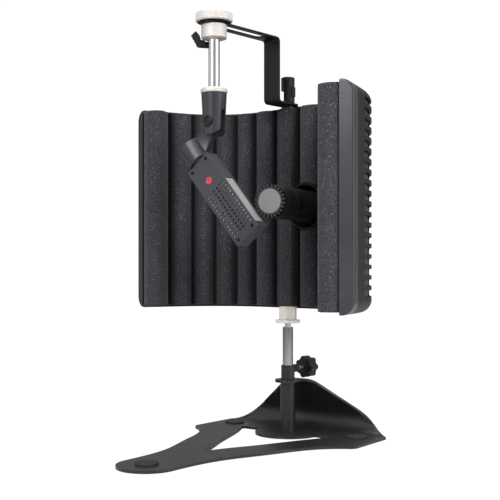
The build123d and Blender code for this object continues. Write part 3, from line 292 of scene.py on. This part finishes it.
def foam_skin():
    """Dark open-cell foam: charcoal strands and small pores, with scattered bright glints painted in
    as highlights and painted shade darkening the creases between the lobes.
    """
    shader = Shader("foam_skin", (0.05, 0.05, 0.055), 0.9, sheen=0.15)
    pores = shader.cells(560.0)
    strands = shader.ramp(pores, [(0.12, cool(0.010)), (0.60, cool(0.046))])
    cloud = shader.ramp(shader.noise(14.0, 4.0), [(0.3, 0.85), (0.75, 1.15)])
    fold_shade_mask = shader.add("ShaderNodeAttribute", attribute_name="fold_shade_mask")
    # painted shade: the foam's colour darkens towards the creases between the lobes, where shade
    # falls
    painted_crease_shade = shader.ramp(fold_shade_mask.outputs["Fac"], [(0.05, 1.0), (0.85, 0.10)])
    strands_with_painted_shade = shader.multiplied(shader.multiplied(strands, cloud), painted_crease_shade)
    # painted highlight: scattered bright glints mixed into the foam's colour, kept out of the
    # creases' painted shade
    painted_glints = shader.ramp(shader.noise(760.0, 1.0), [(0.68, 0.0), (0.74, 1.0)])
    painted_glint_mix = shader.add("ShaderNodeMix", data_type="RGBA", blend_type="MIX")
    shader.link(shader.math("MULTIPLY", shader.math("MULTIPLY", painted_glints, painted_crease_shade), 0.8), painted_glint_mix.inputs[0])
    shader.link(strands_with_painted_shade, painted_glint_mix.inputs[6])
    painted_glint_mix.inputs[7].default_value = (0.30, 0.30, 0.32, 1.0)
    shader.colour(painted_glint_mix.outputs[2])
    shader.bump(pores, 0.6 * MM, 0.9)
    shader.surface.inputs["Specular IOR Level"].default_value = 0.15
    return shader.material


def wool_felt():
    shader = Shader("wool_felt", (0.2, 0.2, 0.2), 0.95, sheen=0.4)
    fibres = shader.noise(500.0, 8.0)
    shader.colour(shader.ramp(fibres, [(0.3, 0.12), (0.7, 0.3)]))
    shader.bump(fibres, 0.4 * MM)
    return shader.material


def punched_metal():
    """Dark sheet pierced by rows of small round holes."""
    shader = Shader("punched_metal", (0.3, 0.3, 0.3), 0.45, metal=0.8)
    holes = shader.cells(260.0)
    shader.colour(shader.ramp(holes, [(0.30, 0.012), (0.36, 0.12)]))
    shader.bump(holes, 0.3 * MM)
    return shader.material


def wire_mesh(name, dark, light, pitch):
    """Fine woven wire: two crossed sets of waves."""
    shader = Shader(name, (light, light, light), 0.42, metal=0.75)
    waves = []
    for axis in "XZ":
        wave = shader.add("ShaderNodeTexWave", wave_type="BANDS", bands_direction=axis)
        wave.inputs["Scale"].default_value = 1.0 / pitch / WAVE_TURN * 2
        shader.link(shader.where, wave.inputs["Vector"])
        waves.append(wave.outputs["Fac"])
    weave = shader.math("MULTIPLY", *waves)
    shader.colour(shader.ramp(weave, [(0.05, dark), (0.45, light)]))
    shader.bump(weave, 0.12 * MM)
    return shader.material


def ribbon_directions():
    """Up along the side-address microphone, out of its front, and across it."""
    joints = {joint["name"]: joint for joint in frame["record"]["behaviour"]["joints"]}
    up = Vector(joints["mic_roll"]["axis"]).normalized()
    front = -Vector(joints["holder_tilt"]["axis"]).normalized()
    return up, front, up.cross(front)


def ribbon_wire():
    """The microphone's woven mesh: bright near its sides, dark in front of the ribbon."""
    across = ribbon_directions()[2]
    places = [vertex.co.dot(across) for vertex in nodes["ribbon_mesh"].data.vertices]
    middle, half = (max(places) + min(places)) / 2, (max(places) - min(places)) / 2
    shader = Shader("ribbon_wire", (0.8, 0.8, 0.8), 0.45, metal=0.3)
    dot = shader.add("ShaderNodeVectorMath", operation="DOT_PRODUCT")
    dot.inputs[1].default_value = across
    shader.link(shader.where, dot.inputs[0])
    offset = shader.math("ABSOLUTE", shader.math("SUBTRACT", dot.outputs["Value"], middle), 0.0)
    share = shader.math("DIVIDE", offset, half)
    weave = shader.cells(1700.0)
    wires = shader.ramp(weave, [(0.1, 0.5), (0.5, 1.0)])
    bands = shader.ramp(share, [(0.35, 0.03), (0.68, 1.0), (0.94, 1.0), (0.97, 0.34)])
    shader.colour(shader.multiplied(bands, wires))
    shader.bump(weave, 0.12 * MM)
    return shader.material


def turned_brass():
    shader = Shader("turned_brass", (0.7, 0.55, 0.25), 0.3, metal=1.0)
    turned = shader.noise(600.0, 2.0)
    shader.colour(shader.ramp(turned, [(0.3, (0.55, 0.42, 0.18)), (0.7, (0.78, 0.62, 0.3))]))
    shader.roughness(turned, 0.25, 0.4)
    return shader.material


def enamel():
    shader = Shader("enamel", (0.55, 0.02, 0.05), 0.2, coat=0.6)
    depth = shader.noise(220.0, 2.0)
    shader.colour(shader.ramp(depth, [(0.3, (0.45, 0.012, 0.04)), (0.8, (0.62, 0.03, 0.07))]))
    return shader.material


SLOT_MATERIALS = {
    "powder_coat": powder_coat(),
    "bracket_paint": satin_paint("bracket_paint", 0.005, 0.010, 0.42, 0.25),
    "rubber": rubber(),
    "chrome": chrome("chrome", 0.66, 0.78),
    "satin_aluminium": blasted_aluminium("blasted_aluminium", 0.52, 0.68),
    "steel": machined_steel("machined_steel", 0.42, 0.6),
    "sheet_aluminium": punched_metal(),
    "black_plastic": moulded_plastic("black_plastic", 0.006, 0.011, 0.42, shine=0.3),
    "trim_plastic": moulded_plastic("trim_plastic", 0.022, 0.034, 0.24, 0.01 * MM),
    "foam": foam_skin(),
    "felt": wool_felt(),
    "mic_paint": satin_paint("mic_paint", 0.028, 0.042, 0.42),
    "mic_mesh": wire_mesh("mic_mesh", 0.25, 0.75, 1.1 * MM),
    "rear_mic_paint": satin_paint("rear_mic_paint", 0.006, 0.011, 0.35),
    "clip_plastic": moulded_plastic("clip_plastic", 0.020, 0.032, 0.24, 0.02 * MM),
    "brass": turned_brass(),
    "black_oxide": machined_steel("black_oxide", 0.03, 0.06),
    "magnet": satin_paint("magnet", 0.12, 0.18, 0.4),
}
# nodes whose look differs from the rest of their slot
NODE_MATERIALS = {
    "inner_tube": chrome("pole_chrome", 0.28, 0.40),
    "hex_coupling": blasted_aluminium("coupling_aluminium", 0.75, 0.92),
    "lock_ring": blasted_aluminium("ring_aluminium", 0.8, 0.95),
    "ribbon_mesh": ribbon_wire(),
    "rear_mic_grille": wire_mesh("grille_mesh", 0.12, 0.34, 0.9 * MM),
}
# the real rounding of the pressed, cut and moulded edges, by node
EDGE_ROUNDING = {
    "base_plate": 0.6 * MM,
    "top_bracket": 0.5 * MM,
    "collar_lever": 0.4 * MM,
    "clip_holder": 0.3 * MM,
}


# ------------------------------------------------------------------ CAD nodes
def dress(item, material):
    item.data.materials.clear()
    item.data.materials.append(material)


def round_edges(item, width):
    """A small real rounding on the crisp edges, which catches the light."""
    weld = item.modifiers.new("weld", "WELD")
    weld.merge_threshold = EDGE_WELD
    bevel = item.modifiers.new("edge", "BEVEL")
    bevel.width = width
    bevel.segments = 2
    bevel.limit_method = "ANGLE"
    bevel.angle_limit = EDGE_TURN


def dress_cad_nodes():
    for part in frame["record"]["subparts"]:
        name = part["node"]
        item = nodes[name]
        dress(item, NODE_MATERIALS.get(name, SLOT_MATERIALS[part["material_slot"]]))
    for name, width in EDGE_ROUNDING.items():
        round_edges(nodes[name], width)


# ------------------------------------------------------------------ pieces made here
def new_piece(name, mesh, body, slot):
    piece = bpy.data.objects.new(name, mesh)
    bpy.context.scene.collection.objects.link(piece)
    dress(piece, SLOT_MATERIALS[slot])
    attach(piece, body)
    return piece


def apply_modifiers(piece):
    """Swap the piece's mesh for the one that its modifiers give."""
    graph = bpy.context.evaluated_depsgraph_get()
    mesh = bpy.data.meshes.new_from_object(piece.evaluated_get(graph))
    piece.modifiers.clear()
    piece.data = mesh


def box_into(build, low, high):
    """Adds a closed box to a bmesh."""
    corners = [(x, y, z) for z in (low.z, high.z) for y in (low.y, high.y) for x in (low.x, high.x)]
    points = [build.verts.new(corner) for corner in corners]
    for loop in ((0, 2, 3, 1), (4, 5, 7, 6), (0, 1, 5, 4), (2, 6, 7, 3), (0, 4, 6, 2), (1, 3, 7, 5)):
        build.faces.new([points[i] for i in loop])


def crease_places(build, height):
    """Plan positions of the upright inner corners between the foam's lobes."""
    places = []
    for edge in build.edges:
        a, b = (vertex.co for vertex in edge.verts)
        if abs(a.z - b.z) < 0.1 * height or (a - b).xy.length > MM or len(edge.link_faces) != 2:
            continue
        if edge.calc_face_angle_signed() < -FOLD_TURN:
            places.append((a.x, a.y))
    return np.array(sorted(set((round(x, 4), round(y, 4)) for x, y in places)))


def foam_piece():
    """The lobed foam, remeshed fine, creased between its lobes and pitted all over."""
    low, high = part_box("foam_liner")
    build = bmesh.new()
    build.from_mesh(nodes["foam_liner"].data)
    bmesh.ops.remove_doubles(build, verts=build.verts, dist=0.01 * MM)
    creases = crease_places(build, high.z - low.z)
    inner = Vector((POLE.x - FILL_HALF, POLE.y - FILL_FRONT, low.z + FILL_INSET))
    outer = Vector((POLE.x + FILL_HALF, POLE.y + FILL_BACK, high.z - FILL_INSET))
    box_into(build, inner, outer)
    mesh = bpy.data.meshes.new("foam")
    build.to_mesh(mesh)
    build.free()
    piece = new_piece("foam", mesh, "shield", "foam")
    remesh = piece.modifiers.new("remesh", "REMESH")
    remesh.mode = "VOXEL"
    remesh.voxel_size = FOAM_VOXEL
    soften = piece.modifiers.new("soften", "SMOOTH")
    soften.factor = 0.5
    soften.iterations = 2
    apply_modifiers(piece)
    crease_and_pit(piece.data, creases)
    piece.data.shade_smooth()
    dress(piece, SLOT_MATERIALS["foam"])
    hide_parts("foam_liner")


def vectors_of(items, name):
    """An array with one row of three numbers for each item of a mesh's list."""
    values = np.empty(len(items) * 3, np.float32)
    items.foreach_get(name, values)
    return values.reshape(-1, 3)


def crease_and_pit(mesh, creases):
    """Sink the folds between the lobes, pit the skin, and store how near each point is to a crease,
    the mask of the painted shade in the foam's colour.
    """
    count = len(mesh.vertices)
    places = vectors_of(mesh.vertices, "co")
    normals = vectors_of(mesh.vertex_normals, "vector")
    reach = np.full(count, 1.0)
    for x, y in creases:
        reach = np.minimum(reach, np.hypot(places[:, 0] - x, places[:, 1] - y))
    sink = FOLD_DEPTH * np.exp(-((reach / FOLD_REACH) ** 2))
    pits = np.empty(count, np.float32)
    for index, (x, y, z) in enumerate(places):
        fine = noise.noise((x * PIT_WAVES, y * PIT_WAVES, z * PIT_WAVES))
        broad = noise.noise((x * DENT_WAVES, y * DENT_WAVES, z * DENT_WAVES))
        pits[index] = fine + 0.5 * broad
    upright = np.abs(normals[:, 2]) < 0.5
    depth = FOAM_PIT * (0.5 + 0.5 * pits) + np.where(upright, sink, 0.0)
    places -= normals * depth[:, None]
    mesh.vertices.foreach_set("co", places.ravel())
    # nearness to a crease, which the foam's material uses as the mask of its painted shade
    fold_shade_mask = mesh.attributes.new("fold_shade_mask", "FLOAT", "POINT")
    fold_shade_mask.data.foreach_set("value", np.exp(-((reach / FOLD_SHADE) ** 2)).astype(np.float32))
    mesh.update()


def badge_rows(build, middle, turn):
    """The badge's rings of vertices, from its rim to its middle."""
    rows = []
    for share, rise in BADGE_RINGS:
        row = []
        for step in range(BADGE_STEPS):
            angle = 2 * math.pi * step / BADGE_STEPS
            x = math.cos(angle) * BADGE_R * share
            y = math.sin(angle) * BADGE_R * share
            row.append(build.verts.new(middle + turn @ Vector((x, y, BADGE_RISE * rise))))
        rows.append(row)
    return rows


def badge_piece():
    """Plain round enamel badge with a fine rim on the front of the side-address microphone."""
    up, front, side = ribbon_directions()
    places = [vertex.co for vertex in nodes["ribbon_front_plate"].data.vertices]
    spans = [(min(p.dot(way) for p in places), max(p.dot(way) for p in places)) for way in (side, up)]
    face = max(p.dot(front) for p in places)
    middle = side * sum(spans[0]) / 2 + up * (sum(spans[1]) / 2 + BADGE_UP) + front * face
    turn = Matrix((side, up, front)).transposed()
    build = bmesh.new()
    rows = badge_rows(build, middle, turn)
    for inside, outside in zip(rows[1:], rows):
        for i in range(BADGE_STEPS):
            j = (i + 1) % BADGE_STEPS
            build.faces.new((outside[i], outside[j], inside[j], inside[i]))
    top = build.verts.new(middle + turn @ Vector((0, 0, BADGE_RISE)))
    for i in range(BADGE_STEPS):
        build.faces.new((rows[-1][i], rows[-1][(i + 1) % BADGE_STEPS], top))
    mesh = bpy.data.meshes.new("badge")
    build.to_mesh(mesh)
    build.free()
    mesh.shade_smooth()
    piece = new_piece("badge", mesh, "ribbon_mic", "mic_paint")
    dress(piece, enamel())


# ------------------------------------------------------------------ studio
def backdrop_paint():
    """Pale paint that stays white to the camera, and lights the object only softly."""
    shader = Shader("backdrop", (0.8, 0.8, 0.8), 0.9)
    shader.colour(shader.ramp(shader.noise(3.0), [(0.2, 0.55), (0.8, 0.6)]))
    glow = shader.add("ShaderNodeEmission")
    glow.inputs["Strength"].default_value = BACKDROP_GLOW
    path = shader.add("ShaderNodeLightPath")
    share = shader.math("MULTIPLY", path.outputs["Is Camera Ray"], BACKDROP_SHARE)
    mixed = shader.add("ShaderNodeMixShader")
    shader.link(share, mixed.inputs["Fac"])
    shader.link(shader.surface.outputs["BSDF"], mixed.inputs[1])
    shader.link(glow.outputs["Emission"], mixed.inputs[2])
    shader.link(mixed.outputs["Shader"], shader.tree.nodes["Material Output"].inputs["Surface"])
    return shader.material


def backdrop():
    """Pale floor that curves up into a backdrop."""
    profile = [(FLOOR_FRONT, 0.0), (FLOOR_BACK, 0.0)]
    for step in range(1, SWEEP_STEPS + 1):
        turn = math.radians(90 * step / SWEEP_STEPS)
        profile.append((FLOOR_BACK + SWEEP_R * math.sin(turn), SWEEP_R - SWEEP_R * math.cos(turn)))
    profile.append((FLOOR_BACK + SWEEP_R, BACKDROP_TOP))
    build = bmesh.new()
    rows = [[build.verts.new((x, y, z)) for y, z in profile] for x in (-BACKDROP_HALF, BACKDROP_HALF)]
    for i in range(len(profile) - 1):
        build.faces.new((rows[0][i], rows[1][i], rows[1][i + 1], rows[0][i + 1]))
    mesh = bpy.data.meshes.new("backdrop")
    build.to_mesh(mesh)
    build.free()
    mesh.shade_smooth()
    item = bpy.data.objects.new("backdrop", mesh)
    bpy.context.scene.collection.objects.link(item)
    item.rotation_euler.z = CAMERA_AZIMUTH
    dress(item, backdrop_paint())


def area_lights():
    for name, ((right, ahead, up), aim, size, watts) in LIGHTS.items():
        data = bpy.data.lights.new(name, "AREA")
        data.shape = "RECTANGLE"
        data.size, data.size_y = size
        data.energy = watts
        light = bpy.data.objects.new(name, data)
        bpy.context.scene.collection.objects.link(light)
        light.location = right * RIGHT + ahead * AHEAD + Vector((0, 0, up))
        toward = Vector((0, 0, aim)) - light.location
        light.rotation_euler = toward.to_track_quat("-Z", "Y").to_euler()
        light.visible_glossy = name not in NOT_REFLECTED


class Surroundings:
    """A pale room, dark behind the camera, that is plain white to the camera itself."""

    def __init__(self):
        self.world = bpy.data.worlds.new("studio")
        self.world.use_nodes = True
        self.tree = self.world.node_tree
        self.toward = self.tree.nodes.new("ShaderNodeTexCoord").outputs["Generated"]

    def along(self, way):
        """How far a ray's direction goes along another direction."""
        dot = self.tree.nodes.new("ShaderNodeVectorMath")
        dot.operation = "DOT_PRODUCT"
        dot.inputs[1].default_value = way
        self.tree.links.new(self.toward, dot.inputs[0])
        return dot.outputs["Value"]

    def calculated(self, operation, *values):
        item = self.tree.nodes.new("ShaderNodeMath")
        item.operation = operation
        for index, value in enumerate(values):
            if isinstance(value, float):
                item.inputs[index].default_value = value
            else:
                self.tree.links.new(value, item.inputs[index])
        return item.outputs["Value"]

    def room(self):
        """Grey of the room by direction: a dark upright strip behind the camera."""
        ahead_of = self.calculated("GREATER_THAN", self.along(AHEAD), 0.0)
        aside = self.calculated("MAXIMUM", self.calculated("ABSOLUTE", self.along(RIGHT)), ahead_of)
        room = self.tree.nodes.new("ShaderNodeValToRGB")
        for element, place, grey in zip(room.color_ramp.elements, ROOM_EDGE, (ROOM_DARK, 1)):
            element.position = place
            element.color = (grey, grey, grey, 1)
        self.tree.links.new(aside, room.inputs["Fac"])
        return room.outputs["Color"]

    def build(self):
        background = self.tree.nodes["Background"]
        path = self.tree.nodes.new("ShaderNodeLightPath").outputs
        open_air = self.tree.nodes.new("ShaderNodeMix")
        open_air.data_type = "RGBA"
        self.tree.links.new(path["Is Camera Ray"], open_air.inputs[0])
        self.tree.links.new(self.room(), open_air.inputs[6])
        open_air.inputs[7].default_value = (1, 1, 1, 1)
        self.tree.links.new(open_air.outputs[2], background.inputs["Color"])
        extra = WORLD_GLOSSY - WORLD_SOFT
        soft = self.calculated("MULTIPLY_ADD", path["Is Glossy Ray"], extra, WORLD_SOFT)
        strength = self.calculated("MAXIMUM", soft, path["Is Camera Ray"])
        self.tree.links.new(strength, background.inputs["Strength"])
        bpy.context.scene.world = self.world


def camera():
    data = bpy.data.cameras.new("camera")
    data.lens = CAMERA_LENS
    data.shift_y = CAMERA_SHIFT
    item = bpy.data.objects.new("camera", data)
    bpy.context.scene.collection.objects.link(item)
    item.location = CAMERA_AT
    item.rotation_euler = (math.pi / 2, 0, CAMERA_AZIMUTH)
    bpy.context.scene.camera = item


dress_cad_nodes()
foam_piece()
badge_piece()
backdrop()
area_lights()
Surroundings().build()
camera()
bpy.context.scene.view_settings.view_transform = "Standard"
